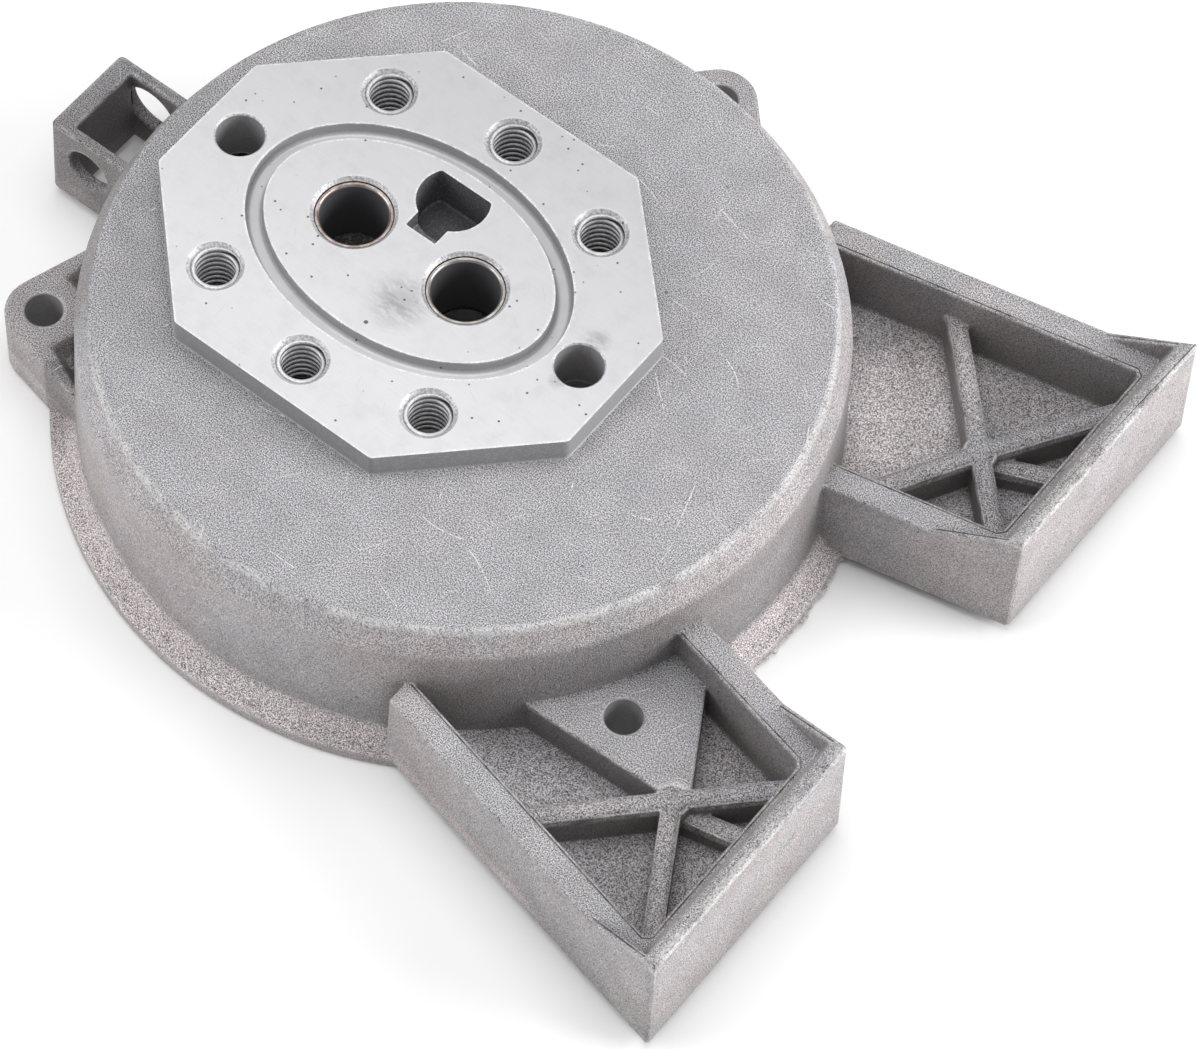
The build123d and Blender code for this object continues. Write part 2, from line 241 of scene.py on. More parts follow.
class RibSizes(bpy.types.PropertyGroup):
    """Sizes of the rounded rib tops in the feet"""
    width: FloatProperty(
        name="Width", description="Width of a rib", default=4.62 * MM, min=0, unit="LENGTH")
    junction: FloatProperty(
        name="Junction", description="Diameter where the ribs meet", default=8.34 * MM, min=0, unit="LENGTH")
    sunk: FloatProperty(
        name="Sunk", description="How far the crown's widest line lies below the rib's flat top",
        default=0.75 * MM, min=0, unit="LENGTH")
    rise: FloatProperty(
        name="Rise", description="Height of the crown above its widest line",
        default=1.3 * MM, min=0, unit="LENGTH")


class SeamSizes(bpy.types.PropertyGroup):
    """Sizes of the parting lines and the flash"""
    inset: FloatProperty(
        name="Distance", description="How far the line lies outside the pocket's edge",
        default=0.75 * MM, min=0, unit="LENGTH")
    line: FloatProperty(
        name="Line", description="Thickness of the parting line", default=0.34 * MM, min=0, unit="LENGTH")
    flash: FloatProperty(
        name="Flash", description="Thickness of the flash where it is widest",
        default=3.0 * MM, min=0, unit="LENGTH")
    seed: IntProperty(name="Seed", description="Chooses how the flash is broken", default=4)


class BushFinish(bpy.types.PropertyGroup):
    """Colours of the two shaft bushes"""
    coppery: FloatVectorProperty(
        name="Idler bush", description="Coppery metal seen on the end of the idler shaft's bush",
        subtype="COLOR", default=(0.31, 0.215, 0.175))
    silvery: FloatVectorProperty(
        name="Drive bush", description="Greyer metal seen on the end of the drive shaft's bush",
        subtype="COLOR", default=(0.34, 0.31, 0.29))
    lining: FloatVectorProperty(
        name="Bush lining", description="Dark running surface inside a bush",
        subtype="COLOR", default=(0.09, 0.09, 0.097))


class StageSetup(bpy.types.PropertyGroup):
    """The floor's colour and the camera's place"""
    floor: FloatVectorProperty(
        name="Floor", description="Colour of the plain floor",
        subtype="COLOR", default=(0.93, 0.93, 0.93))
    camera_place: FloatVectorProperty(
        name="Camera place", description="Where the camera stands",
        subtype="XYZ", unit="LENGTH", default=(0.38691, -0.51332, 1.02833))
    camera_aim: FloatVectorProperty(
        name="Camera aim", description="Point in the middle of the picture",
        subtype="XYZ", unit="LENGTH", default=(0.060915, -0.029481, 0.0517))
    camera_roll: FloatProperty(
        name="Camera roll", description="How far the camera leans to one side",
        subtype="ANGLE", default=math.radians(4.548))
    lens: FloatProperty(
        name="Lens", description="Focal length in millimetres on a 36 mm wide sensor",
        default=157.02, min=1, unit="CAMERA")


# Small helpers for shader and geometry trees

SOCKET_KINDS = {
    tuple: "NodeSocketVector", float: "NodeSocketFloat", int: "NodeSocketInt",
    type(None): "NodeSocketMaterial",
}


def add_inputs(tree, inputs):
    """Gives a tree its named inputs, each of its default's kind, and returns the sockets inside it."""
    for label, value in inputs.items():
        socket = tree.interface.new_socket(label, in_out="INPUT", socket_type=SOCKET_KINDS[type(value)])
        if value is not None:
            socket.default_value = value
    return tree.nodes.new("NodeGroupInput").outputs


def shader_group(name, inputs):
    """A new shader group and the sockets of its inputs."""
    tree = bpy.data.node_groups.new(name, "ShaderNodeTree")
    return tree, add_inputs(tree, inputs)


def give(tree, **results):
    """Ends a shader group with its named results."""
    for name in results:
        tree.interface.new_socket(name, in_out="OUTPUT", socket_type="NodeSocketFloat")
    ending = tree.nodes.new("NodeGroupOutput").inputs
    for name, source in results.items():
        tree.links.new(source, ending[name])
    return tree


def add(tree, kind, links=None, **settings):
    """A node with its settings; links maps an input, by name or number, to an output socket or a value."""
    node = tree.nodes.new(kind)
    for name, value in settings.items():
        setattr(node, name, value)
    for name, source in (links or {}).items():
        socket = node.inputs[name]
        if isinstance(source, bpy.types.NodeSocket):
            tree.links.new(source, socket)
        else:
            socket.default_value = source
    return node


def math_node(tree, operation, *values, clamp=False):
    inputs = dict(enumerate(values))
    return add(tree, "ShaderNodeMath", inputs, operation=operation, use_clamp=clamp).outputs[0]


def folded(tree, operation, values):
    """One operation taken through a row of values."""
    result = values[0]
    for value in values[1:]:
        result = math_node(tree, operation, result, value)
    return result


def product(tree, *values):
    return folded(tree, "MULTIPLY", values)


def largest(tree, *values):
    return folded(tree, "MAXIMUM", values)


def ramp(tree, value, low, high, to_low=0.0, to_high=1.0, smooth=True):
    """The value stretched so that `low` gives to_low and `high` gives to_high, and held there outside."""
    node = add(tree, "ShaderNodeMapRange", {
        "Value": value, "From Min": low, "From Max": high, "To Min": to_low, "To Max": to_high},
        clamp=True, interpolation_type="SMOOTHSTEP" if smooth else "LINEAR")
    return node.outputs["Result"]


def blend(tree, share, first, second, smooth=True):
    """The first value where the share is 0, turning into the second where it is 1."""
    return ramp(tree, share, 0.0, 1.0, first, second, smooth)


def mix_colour(tree, share, first, second, method="MIX"):
    node = add(tree, "ShaderNodeMix", {"Factor": share}, data_type="RGBA", blend_type=method)
    for socket, source in ((node.inputs[6], first), (node.inputs[7], second)):
        if isinstance(source, bpy.types.NodeSocket):
            tree.links.new(source, socket)
        else:
            socket.default_value = (*source[:3], 1)
    return node.outputs[2]


def shaded(tree, colour, shade):
    """A colour multiplied by a shade."""
    grey = add(tree, "ShaderNodeCombineColor", {0: shade, 1: shade, 2: shade}).outputs[0]
    return mix_colour(tree, 1.0, colour, grey, "MULTIPLY")


def noise(tree, vector, size, detail=2.0, roughness=0.5):
    """Noise whose features are about `size` metres across; the size is a number or a socket."""
    scale = math_node(tree, "DIVIDE", 1.0, size) if isinstance(size, bpy.types.NodeSocket) else 1 / size
    return add(tree, "ShaderNodeTexNoise", {
        "Vector": vector, "Scale": scale, "Detail": detail, "Roughness": roughness}).outputs["Fac"]


def split(tree, vector):
    """The three parts of a vector."""
    return add(tree, "ShaderNodeSeparateXYZ", {0: vector}).outputs


def facing_up(tree):
    """1 on a level top, 0 on an upright wall."""
    return split(tree, add(tree, "ShaderNodeNewGeometry").outputs["Normal"])["Z"]


def distance(tree, place, point):
    return add(tree, "ShaderNodeVectorMath", {0: place, 1: point}, operation="DISTANCE").outputs["Value"]


def radius_about(tree, spot, centre_x=0.0):
    """Distance from the upright axis that crosses the X axis at centre_x."""
    level = add(tree, "ShaderNodeCombineXYZ", {0: spot["X"], 1: spot["Y"]}).outputs[0]
    return distance(tree, level, (centre_x, 0, 0))


def drawn_out(tree, place, turn, along, across):
    """The place turned about Z and scaled, so that a pattern on it is drawn out one way."""
    return add(tree, "ShaderNodeMapping", {
        "Vector": place, "Rotation": (0, 0, turn), "Scale": (along, across, 1.0)}).outputs[0]


def bump(tree, height, depth, **normal):
    """A normal raised by a height, on a given normal where there is one."""
    return add(tree, "ShaderNodeBump", {"Height": height, "Distance": depth, **normal}).outputs["Normal"]


# Effects that several materials share

def blasted_grain(name):
    """Fine pits and specks of a shot-blasted skin."""
    tree, given = shader_group(name, {"Place": (0, 0, 0), "Grain Size": 0.45 * MM})
    fine = noise(tree, given["Place"], given["Grain Size"], roughness=0.65)
    coarse_size = math_node(tree, "DIVIDE", given["Grain Size"], 0.28)
    coarse = noise(tree, given["Place"], coarse_size, detail=3.0, roughness=0.6)
    height = math_node(tree, "MULTIPLY_ADD", coarse, 0.6, fine)
    return give(tree, Height=height, Specks=ramp(tree, fine, 0.30, 0.72))


def rubbed_edges(name):
    """A mask of the outside edges, broken into patches and specks as handling leaves them."""
    tree, given = shader_group(name, {
        "Place": (0, 0, 0), "Reach": 1.0 * MM, "Break Up": 6 * MM, "Speck": 0.5 * MM})
    inside = add(tree, "ShaderNodeAmbientOcclusion", {"Distance": given["Reach"]}, samples=3, inside=True)
    sharp = ramp(tree, inside.outputs["AO"], 0.92, 0.62)
    patches = noise(tree, given["Place"], given["Break Up"], detail=4.0, roughness=0.7)
    specks = noise(tree, given["Place"], given["Speck"], detail=1.0)
    broken = product(tree, ramp(tree, patches, 0.36, 0.58), ramp(tree, specks, 0.40, 0.60, 0.25, 1.0))
    return give(tree, Mask=product(tree, sharp, broken), Broken=broken)


def corner_dust_and_shade(name):
    """Dust stays in the inside corners and narrow pockets, and shade falls there: this mask from ambient
    occlusion paints both.
    """
    tree, given = shader_group(name, {"Reach": 8 * MM})
    shade = add(tree, "ShaderNodeAmbientOcclusion", {"Distance": given["Reach"]}, samples=2)
    return give(tree, Mask=ramp(tree, shade.outputs["AO"], 0.75, 0.2))


def random_cells(tree, given, **settings):
    """Cells that lie about a spacing apart, and three random numbers for each."""
    scale = math_node(tree, "DIVIDE", 1.0, given["Spacing"])
    cells = add(tree, "ShaderNodeTexVoronoi", {
        "Vector": given["Place"], "Scale": scale, "Randomness": 1.0}, **settings).outputs
    return cells, add(tree, "ShaderNodeSeparateColor", {0: cells["Color"]}).outputs


def scratches(name):
    """Thin scratches on an upward face: every cell has one slightly bent stroke at its own angle."""
    tree, given = shader_group(name, {"Place": (0, 0, 0), "Spacing": 12 * MM, "Width": 0.15 * MM})
    cells, chance = random_cells(tree, given, voronoi_dimensions="2D")
    away = add(tree, "ShaderNodeVectorMath", {
        0: given["Place"], 1: cells["Position"]}, operation="SUBTRACT").outputs["Vector"]
    turned = add(tree, "ShaderNodeVectorRotate", {
        "Vector": away, "Angle": product(tree, chance[0], math.tau)}, rotation_type="Z_AXIS").outputs[0]
    spot = split(tree, turned)
    bend = product(tree, math_node(tree, "SUBTRACT", chance[1], 0.5), SCRATCH_BEND)
    curve = product(tree, bend, product(tree, spot["X"], spot["X"]))
    side = math_node(tree, "ABSOLUTE", math_node(tree, "ADD", spot["Y"], curve))
    along = math_node(tree, "ABSOLUTE", spot["X"])
    half = product(tree, given["Spacing"], ramp(tree, chance[2], 0.2, 1.0, 0.04, 0.40, smooth=False))
    line = ramp(tree, side, given["Width"], product(tree, given["Width"], 0.3))
    stroke = ramp(tree, along, half, product(tree, half, 0.6))
    skip = ramp(tree, noise(tree, given["Place"], 0.9 * MM, detail=1.0), 0.34, 0.5)
    return give(tree, Mask=product(tree, line, stroke, skip))


def pits(name):
    """Single small pits, far apart: one cell in three has one."""
    tree, given = shader_group(name, {"Place": (0, 0, 0), "Spacing": 5 * MM, "Pit Size": 0.3 * MM})
    cells, chance = random_cells(tree, given)
    size = math_node(tree, "DIVIDE", given["Pit Size"], given["Spacing"])
    near = ramp(tree, cells["Distance"], size, product(tree, size, 0.6))
    return give(tree, Mask=product(tree, near, ramp(tree, chance[0], 0.66, 0.68)))


def spaced(name):
    """A socket's or group's name, from the Python name that stands for it."""
    return name.replace("_", " ")


def effect(tree, maker, **values):
    """One of the shared effects, placed in a material; its group is made when it is first used."""
    name = spaced(maker.__name__).capitalize()
    group = bpy.data.node_groups.get(name) or maker(name)
    links = {spaced(key): value for key, value in values.items()}
    return add(tree, "ShaderNodeGroup", links, node_tree=group).outputs


def new_material(name):
    """A material with an empty tree, and the object coordinates that its patterns read."""
    material = bpy.data.materials.new(name)
    material.use_nodes = True
    tree = material.node_tree
    tree.nodes.clear()
    return material, tree, add(tree, "ShaderNodeTexCoord").outputs["Object"]


def finish_material(tree, surface):
    """Ends a material's tree with a surface that has the given inputs."""
    shader = add(tree, "ShaderNodeBsdfPrincipled", surface)
    add(tree, "ShaderNodeOutputMaterial", {"Surface": shader.outputs[0]})


# The casting's materials

def cast_colour(tree, place, spot, upward, finish):
    """Grey on top, a faint bloom on the walls, and a paler pinkish rim: the pink is the flange's own, the
    paleness is partly painted light.
    """
    clouds = noise(tree, place, 30 * MM, detail=4.0, roughness=0.6)
    upper = ramp(tree, spot["Z"], *UPPER_Z)
    clean = product(tree, upward, blend(tree, upper, 0.5, 1.0))
    clean = math_node(tree, "ADD", clean, ramp(tree, clouds, 0.4, 0.62, -0.2, 0.6), clamp=True)
    colour = mix_colour(tree, clean, finish.bloom, finish.grey)
    # Painted light with the flange's own pinkish tint: the low rim is made paler
    rim = product(tree, ramp(tree, spot["Z"], *RIM_Z), ramp(tree, spot["X"], *RIM_X))
    return mix_colour(tree, rim, colour, finish.flange)


def cast_shade(tree, place, spot):
    """Paler in the far foot and darker over the bracket; painted shade on the bell between the feet and on
    its left flank.
    """
    radius = radius_about(tree, spot)
    pale = ramp(tree, distance(tree, place, PALE_PATCH), 24 * MM, 9 * MM, 1.0, 1.5)
    # Darker over the whole bracket
    bracket_darkening = ramp(tree, spot["X"], *BRACKET_X, 1.0, 0.66)
    # Painted shade: the bell's wall between the feet is darkened where the feet shade it
    shade_between_feet = product(tree, ramp(tree, radius, *SHADED_BELL_RADIUS), ramp(tree, spot["Z"], *SHADED_BELL_Z),
                           ramp(tree, spot["X"], *SHADED_BETWEEN_FEET_X))
    # Painted shade: the bell's left flank and the rim beside it are darkened, up to the ear
    outer = ramp(tree, spot["Y"], *BESIDE_EAR_Y, 96 * MM, 90 * MM)
    shaded_flank = product(tree, ramp(tree, radius, *SHADED_FLANK_RADIUS),
                       ramp(tree, math_node(tree, "SUBTRACT", outer, radius), 0.0, 1 * MM),
                       ramp(tree, spot["X"], *SHADED_FLANK_X))
    return product(tree, pale, bracket_darkening, blend(tree, shade_between_feet, 1.0, 0.80), blend(tree, shaded_flank, 1.0, 0.64))


def cast_wear(tree, place, spot, upward):
    """Bright metal on rubbed edges, along the feet's crests and in scratches; round the shoulder, apart from
    its left end, a band of worn metal and painted highlight.
    """
    crest = product(tree, ramp(tree, spot["Z"], *CREST_Z), ramp(tree, spot["X"], *CREST_X), 0.85)
    reach = blend(tree, crest, 1.2 * MM, 2.4 * MM)
    rubbed = effect(tree, rubbed_edges, Place=place, Reach=reach, Break_Up=7 * MM, Speck=0.5 * MM)
    strength = blend(tree, crest, 0.75, 1.0)
    # Worn metal and painted highlight: a bright band along the shoulder's edge, fading out towards the left
    off = math_node(tree, "ABSOLUTE", math_node(tree, "SUBTRACT", radius_about(tree, spot), SHOULDER_EDGE))
    shoulder = product(tree, ramp(tree, off, *SHOULDER_OFF), ramp(tree, spot["Z"], *SHOULDER_Z),
                       ramp(tree, spot["X"], *SHOULDER_X, 0.0, 0.6))
    long_ones = effect(tree, scratches, Place=place, Spacing=22 * MM, Width=0.16 * MM)
    short_ones = effect(tree, scratches, Place=place, Spacing=13 * MM, Width=0.13 * MM)
    lines = product(tree, largest(tree, long_ones["Mask"], product(tree, short_ones["Mask"], 0.7)), upward)
    return largest(tree, product(tree, rubbed["Mask"], strength),
                   product(tree, shoulder, rubbed["Broken"]), product(tree, lines, 0.85))


def cast_material(finish, name, worn=True):
    """The blasted skin, with its edges rubbed bright where it is worn."""
    material, tree, place = new_material(name)
    grain = effect(tree, blasted_grain, Place=place, Grain_Size=finish.grain)
    spot = split(tree, place)
    upward = ramp(tree, facing_up(tree), 0.2, 0.9)
    mottle = ramp(tree, noise(tree, place, 9 * MM, detail=3.0), 0.3, 0.7, 0.93, 1.06)
    contrast = blend(tree, upward, 0.62, 0.95)
    specks = blend(tree, grain["Specks"], -1.0, 1.0, smooth=False)
    specks = math_node(tree, "MULTIPLY_ADD", specks, contrast, 1.0)
    shade = product(tree, cast_shade(tree, place, spot), mottle, specks)
    colour = shaded(tree, cast_colour(tree, place, spot, upward, finish), shade)
    # Dust and painted shade: ambient occlusion darkens the inside corners and, with a long reach, the walls
    # of pockets
    dust_and_shade = product(tree, effect(tree, corner_dust_and_shade, Reach=5 * MM)["Mask"], 0.4)
    deep_shade = product(tree, effect(tree, corner_dust_and_shade, Reach=30 * MM)["Mask"], blend(tree, upward, 0.80, 0.14))
    colour = mix_colour(tree, largest(tree, dust_and_shade, deep_shade), colour, finish.grime)
    rough = 0.62
    if worn:
        bright = cast_wear(tree, place, spot, upward)
        colour = mix_colour(tree, bright, colour, finish.worn)
        rough = blend(tree, bright, rough, 0.4, smooth=False)
    holes = effect(tree, pits, Place=place, Spacing=7 * MM, Pit_Size=0.45 * MM)["Mask"]
    colour = mix_colour(tree, product(tree, holes, 0.8), colour, finish.grime)
    soft = add(tree, "ShaderNodeBevel", {"Radius": finish.soft_round}, samples=2).outputs["Normal"]
    finish_material(tree, {"Base Color": colour, "Roughness": rough, "Metallic": 0.35,
                           "Normal": bump(tree, grain["Height"], 0.3 * MM, Normal=soft)})
    return material


def oil_smudges(tree, place):
    """A mask of the patchy smudge between the bores and of the two small ones by the right dowel hole."""
    away = distance(tree, place, SMUDGE_CENTRE)
    finger = ramp(tree, away, SMUDGE_REACH, 0.1 * SMUDGE_REACH)
    for centre, reach in SMALL_SMUDGES:
        small = ramp(tree, distance(tree, place, centre), reach, 0.3 * reach, 0.0, 0.7)
        finger = largest(tree, finger, small)
    wiped = noise(tree, drawn_out(tree, place, -0.5, 0.5, 1.6), 2.4 * MM, detail=6.0, roughness=0.75)
    patchy = ramp(tree, wiped, 0.36, 0.60, 0.1, 1.0)
    core = ramp(tree, away, 0.6 * SMUDGE_REACH, 0.1 * SMUDGE_REACH, 0.0, 0.65)
    return largest(tree, core, product(tree, finger, patchy))


def milled_shade(tree, place, marks, steep_shade, rough_slopes):
    """Mill marks and chatter marks on slopes, with painted shade: darker steep faces, darker slopes and a far
    side darkened along Y.
    """
    level = facing_up(tree)
    slope = product(tree, ramp(tree, level, 0.97, 0.85), ramp(tree, level, 0.2, 0.4))
    # Painted shade on steep faces, on slopes and on the pad's far side
    steep = ramp(tree, level, 0.95, 0.1)
    shade = product(tree, ramp(tree, marks, 0.25, 0.75, 0.97, 1.02, smooth=False),
                    blend(tree, steep, 1.0, steep_shade), blend(tree, slope, 1.0, 0.80),
                    ramp(tree, split(tree, place)["Y"], *FAR_SIDE_SHADE_Y, 1.0, 0.82, smooth=False))
    chatter = ramp(tree, noise(tree, place, 0.55 * MM, detail=3.0), 0.3, 0.7, -rough_slopes, rough_slopes)
    return math_node(tree, "MULTIPLY_ADD", slope, chatter, shade)


def machined_material(finish, name, steep_shade, rough_slopes):
    """Milled metal; steep faces get painted shade by steep_shade, and slopes have chatter marks of a given
    depth.
    """
    material, tree, place = new_material(name)
    marks = noise(tree, drawn_out(tree, place, 0.7, 0.02, 1.0), finish.streak)
    clouds = noise(tree, place, 5 * MM, detail=6.0, roughness=0.7)
    stain = product(tree, ramp(tree, clouds, 0.45, 0.75), 0.14)
    stain = math_node(tree, "ADD", stain, oil_smudges(tree, place), clamp=True)
    colour = mix_colour(tree, stain, finish.bright, finish.smudge)
    colour = shaded(tree, colour, milled_shade(tree, place, marks, steep_shade, rough_slopes))
    holes = effect(tree, pits, Place=place, Spacing=2.8 * MM, Pit_Size=0.36 * MM)["Mask"]
    holes = largest(tree, holes, ramp(tree, distance(tree, place, BIG_PIT), 0.6 * MM, 0.4 * MM))
    colour = mix_colour(tree, product(tree, holes, 0.85), colour, PIT_BLACK)
    lines = effect(tree, scratches, Place=place, Spacing=9 * MM, Width=0.1 * MM)["Mask"]
    colour = mix_colour(tree, product(tree, lines, 0.3), colour, finish.smudge)
    edges = effect(tree, rubbed_edges, Place=place, Reach=0.7 * MM, Break_Up=3 * MM, Speck=0.4 * MM)["Mask"]
    colour = mix_colour(tree, product(tree, edges, 0.8), colour, EDGE_WHITE)
    height = math_node(tree, "SUBTRACT", marks, product(tree, holes, 3.0))
    finish_material(tree, {"Base Color": colour, "Roughness": ramp(tree, clouds, 0.3, 0.7, 0.42, 0.50),
                           "Metallic": 0.3, "Normal": bump(tree, height, 0.012 * MM)})
    return material


def dark_hole_material(name, colour, rough, shaded_floor=None, lip_highlight=None):
    """The inside of a hole, with a little grain; where asked, painted shade on upward faces below a given
    height and a painted highlight on a band at a given height.
    """
    material, tree, place = new_material(name)
    grain = effect(tree, blasted_grain, Place=place, Grain_Size=0.6 * MM)
    share = ramp(tree, grain["Specks"], 0.4, 1.0, 0.0, 0.35)
    skin = mix_colour(tree, share, colour, [0.3 + 0.7 * part for part in colour])
    height = split(tree, place)["Z"]
    # Painted shade on the floor of a sunk hole
    if shaded_floor:
        deep_shade = product(tree, ramp(tree, height, shaded_floor + 0.5 * MM, shaded_floor),
                       ramp(tree, facing_up(tree), 0.7, 0.9), 0.6)
        skin = mix_colour(tree, deep_shade, skin, (0.01, 0.01, 0.012))
    # Painted highlight: a bright band where the hole's lower edge catches light
    if lip_highlight:
        lip = product(tree, ramp(tree, height, lip_highlight + 1.1 * MM, lip_highlight + 0.7 * MM),
                      ramp(tree, height, lip_highlight - 0.3 * MM, lip_highlight))
        skin = mix_colour(tree, lip, skin, (0.9, 0.9, 0.9))
    finish_material(tree, {"Base Color": skin, "Roughness": rough, "Metallic": 0.2,
                           "Normal": bump(tree, grain["Height"], 0.1 * MM)})
    return material


def seam_material():
    """A dark, patchy colour along a parting line."""
    material, tree, place = new_material("Parting line")
    broken = ramp(tree, noise(tree, place, 3 * MM, detail=4.0), 0.35, 0.65)
    colour = mix_colour(tree, broken, (0.06, 0.055, 0.055), (0.22, 0.21, 0.21))
    finish_material(tree, {"Base Color": colour, "Roughness": 0.8})
    return material


def bush_material(finish, name, centre_x, backing):
    """The bush's metal on its end, dark on its running surface and in the gap round it."""
    material, tree, place = new_material(name)
    radius = radius_about(tree, split(tree, place), centre_x)
    lining = ramp(tree, radius, SHAFT_RADIUS + 0.30 * MM, SHAFT_RADIUS)
    wear = noise(tree, place, 2.5 * MM, detail=4.0)
    rubbed = [0.35 + 0.55 * part for part in backing]
    metal = mix_colour(tree, ramp(tree, wear, 0.4, 0.65), backing, rubbed)
    gap = ramp(tree, radius, BUSH_RADIUS - 0.34 * MM, BUSH_RADIUS - 0.20 * MM)
    metal = mix_colour(tree, gap, metal, (0.015, 0.015, 0.015))
    metal = mix_colour(tree, lining, metal, finish.lining)
    finish_material(tree, {"Base Color": metal, "Roughness": blend(tree, lining, 0.35, 0.7),
                           "Metallic": blend(tree, lining, 0.9, 0.1), "Normal": bump(tree, wear, 0.03 * MM)})
    return material


# Objects and plain pieces

def new_object(name, data):
    """An object that is in the scene."""
    item = bpy.data.objects.new(name, data)
    bpy.context.scene.collection.objects.link(item)
    return item


def plain_piece(source, name):
    """The evaluated object as a plain mesh piece; the source object goes."""
    graph = bpy.context.evaluated_depsgraph_get()
    mesh = bpy.data.meshes.new_from_object(source.evaluated_get(graph), depsgraph=graph)
    mesh.name = name
    bpy.data.objects.remove(source)
    return new_object(name, mesh)


def on_circle(radius, degrees, height=0.0):
    """The point on a circle about the drive shaft's axis, at an angle from the X axis."""
    angle = math.radians(degrees)
    return Vector((radius * math.cos(angle), radius * math.sin(angle), height))


# The casting, with its edges and roots rounded

CAST, MACHINED, BORED, PORTED, REAMED, PAD_SIDE, GROOVED, TAPPED = range(8)


def around(face, centre, radius):
    """Whether the whole face lies within a radius of an upright axis."""
    reach = radius + 2 * SLACK
    return all(math.hypot(vert.co.x - centre[0], vert.co.y - centre[1]) < reach for vert in face.verts)


def in_hole(face, mounts):
    """Whether a face belongs to one of the mounts' holes."""
    return any(around(face, mount["pos_m"], mount["dims"]["r_mm"] * MM) for mount in mounts)


def finish_of(face):
    """Which of the casting's finishes a face has."""
    low = min(vert.co.z for vert in face.verts)
    if low > PAD_TOP - MACHINED_DEPTH:
        return GROOVED if low < PAD_TOP - GROOVE_DEPTH else MACHINED
    if in_hole(face, THREADED):
        return TAPPED
    if in_hole(face, DOWELLED):
        return REAMED
    if any(around(face, on_circle(BOLT_CIRCLE_RADIUS, angle), BOLT_RADIUS) for angle in BOLT_ANGLES):
        return REAMED
    if any(around(face, mount["pos_m"], BUSH_RADIUS) for mount in SHAFTS):
        return BORED
    if low > PAD_TOP - PORT_DEPTH and around(face, PORT_CENTRE, PORT_REACH):
        return PORTED
    if low > PLATE_TOP - SLACK and abs(face.normal.z) < UPRIGHT_NORMAL_Z:
        return PAD_SIDE
    return CAST


def reach_across(face, edge):
    """How wide a face is, measured square to one of its edges."""
    along = (edge.verts[1].co - edge.verts[0].co).normalized()
    across = face.normal.cross(along)
    return max(abs((vert.co - edge.verts[0].co).dot(across)) for vert in face.verts)


def is_strip(edge):
    """Whether an edge bounds a narrow sloped strip that rounds its corner already."""
    slight = edge.calc_face_angle() < STRIP_ANGLE
    return slight and min(reach_across(face, edge) for face in edge.link_faces) < STRIP_WIDTH


def rounding_of(edge, finish):
    """The radius that an edge of the casting gets."""
    kinds = {face.material_index for face in edge.link_faces}
    concave = not edge.is_convex
    if kinds == {GROOVED} and concave:
        wanted = finish.groove_round
    elif MACHINED in kinds:
        wanted = finish.machined_round
    else:
        wanted = finish.root_round if concave else finish.edge_round
    return min([wanted] + [ROUNDED_SHARE * reach_across(face, edge) for face in edge.link_faces])


def merged_casting():
    """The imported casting's triangles joined into one closed shell of flat faces."""
    shape = bmesh.new()
    shape.from_mesh(frame["nodes"]["bell_housing"].data)
    bmesh.ops.remove_doubles(shape, verts=shape.verts, dist=WELD)
    bmesh.ops.dissolve_limit(shape, angle_limit=FLAT_ANGLE, verts=shape.verts, edges=shape.edges)
    return shape


def mark_edges(shape, finish, widest):
    """Sorts the shell's faces by finish, and gives every sharp edge its share of the widest rounding."""
    for face in shape.faces:
        face.smooth = True
        face.material_index = finish_of(face)
    weight = shape.edges.layers.float.new("bevel_weight_edge")
    for edge in shape.edges:
        edge.smooth = edge.calc_face_angle(0.0) < SHARP_ANGLE
        if not edge.smooth and edge.link_faces[0].material_index == CAST:
            edge.smooth = is_strip(edge)
        if not edge.smooth:
            edge[weight] = rounding_of(edge, finish) / widest


def round_casting(finish, materials):
    """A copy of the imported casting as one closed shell, with rounded edges and roots."""
    mesh = frame["nodes"]["bell_housing"].data.copy()
    mesh.name = "casting"
    mesh.materials.clear()
    for material in materials:
        mesh.materials.append(material)
    widest = max(finish.root_round, finish.groove_round)
    shape = merged_casting()
    mark_edges(shape, finish, widest)
    shape.to_mesh(mesh)
    shape.free()
    if "custom_normal" in mesh.attributes:
        mesh.attributes.remove(mesh.attributes["custom_normal"])
    rough = new_object("rough_casting", mesh)
    edges = rough.modifiers.new("edges", "BEVEL")
    edges.limit_method = "WEIGHT"
    edges.width = widest
    edges.segments = 3
    edges.use_clamp_overlap = False
    flats = rough.modifiers.new("flats", "WEIGHTED_NORMAL")
    flats.keep_sharp = False
    return plain_piece(rough, "casting")


class BELLHOUSING_OT_casting(bpy.types.Operator):
    """Round the casting's edges and give it its blasted, milled and dark finishes"""
    bl_idname = "bell_housing.casting"
    bl_label = "Finish the Casting"

    def execute(self, context):
        finish, pad = context.scene.bell_casting, context.scene.bell_pad
        casting = round_casting(finish, [
            cast_material(finish, "Blasted casting"),
            machined_material(pad, "Milled pad", 1.0, 0.26),
            # Painted shade: the shaft bores are painted near black
            dark_hole_material("Shaded bore", (0.03, 0.03, 0.032), 0.6),
            # Painted shade darkens the port's floor
            dark_hole_material("Dark port", (0.12, 0.12, 0.132), 0.5, shaded_floor=PORT_FLOOR),
            dark_hole_material("Reamed hole", (0.38, 0.37, 0.38), 0.4, lip_highlight=DOWEL_FOOT),
            # Painted shade: the pad's upright sides get a darker copy of the milled metal
            dark_hole_material("Shaded milled side", (0.30, 0.30, 0.305), 0.5),
            machined_material(pad, "Milled groove", 0.66, 0.04),
            # Painted shade: the walls of the tapped holes between the threads are painted near black
            dark_hole_material("Thread root", (0.05, 0.05, 0.052), 0.5),
        ])
        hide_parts("bell_housing")
        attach(casting, "root")
        return {"FINISHED"}


# Helpers for the pieces that Geometry Nodes make

